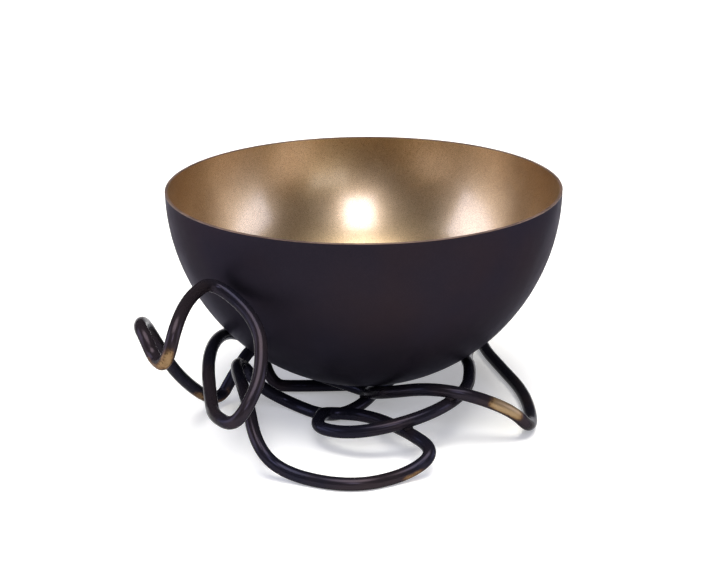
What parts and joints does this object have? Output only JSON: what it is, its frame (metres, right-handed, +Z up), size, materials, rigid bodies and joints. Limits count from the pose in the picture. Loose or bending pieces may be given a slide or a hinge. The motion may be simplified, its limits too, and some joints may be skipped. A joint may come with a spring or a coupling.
{
  "type": "bowl on stand",
  "caption": "Thin hemispherical metal bowl with a gold inside, resting loose in a stand of bent and brazed round rod.",
  "frame": {"origin": "on the table, under the centre of the whole footprint", "axes": "+Z up out of the bowl's mouth, -Y towards the front, +X to the right, where the long leg lies on the table"},
  "size_m": [0.3114, 0.3409, 0.172],
  "materials": {
    "bowl_bronze": "dark patinated bronze, soft satin, burnished along the lip",
    "gilt": "powdery satin gold",
    "rod_bronze": "dark bronze patina, rubbed to gold on high spots",
    "braze": "darkened braze"
  },
  "bodies": {
    "stand": {"left_hook": "rod_bronze", "left_loop": "rod_bronze", "left_sweep": "rod_bronze", "back_arc": "rod_bronze", "right_leg": "rod_bronze", "cradle_rod": "rod_bronze", "left_foot": "rod_bronze", "front_leg": "rod_bronze", "front_foot": "rod_bronze", "small_loop": "rod_bronze", "right_riser": "rod_bronze", "under_arc": "rod_bronze", "left_riser": "rod_bronze", "braze_beads": "braze"},
    "bowl": {"bowl_shell": "bowl_bronze", "gilt_lining": "gilt"}
  },
  "joints": [
    {"name": "bowl_lift", "type": "slide", "parent": "stand", "child": "bowl", "axis": [0, 0, 1], "range_m": [0, 0.15]}
  ]
}
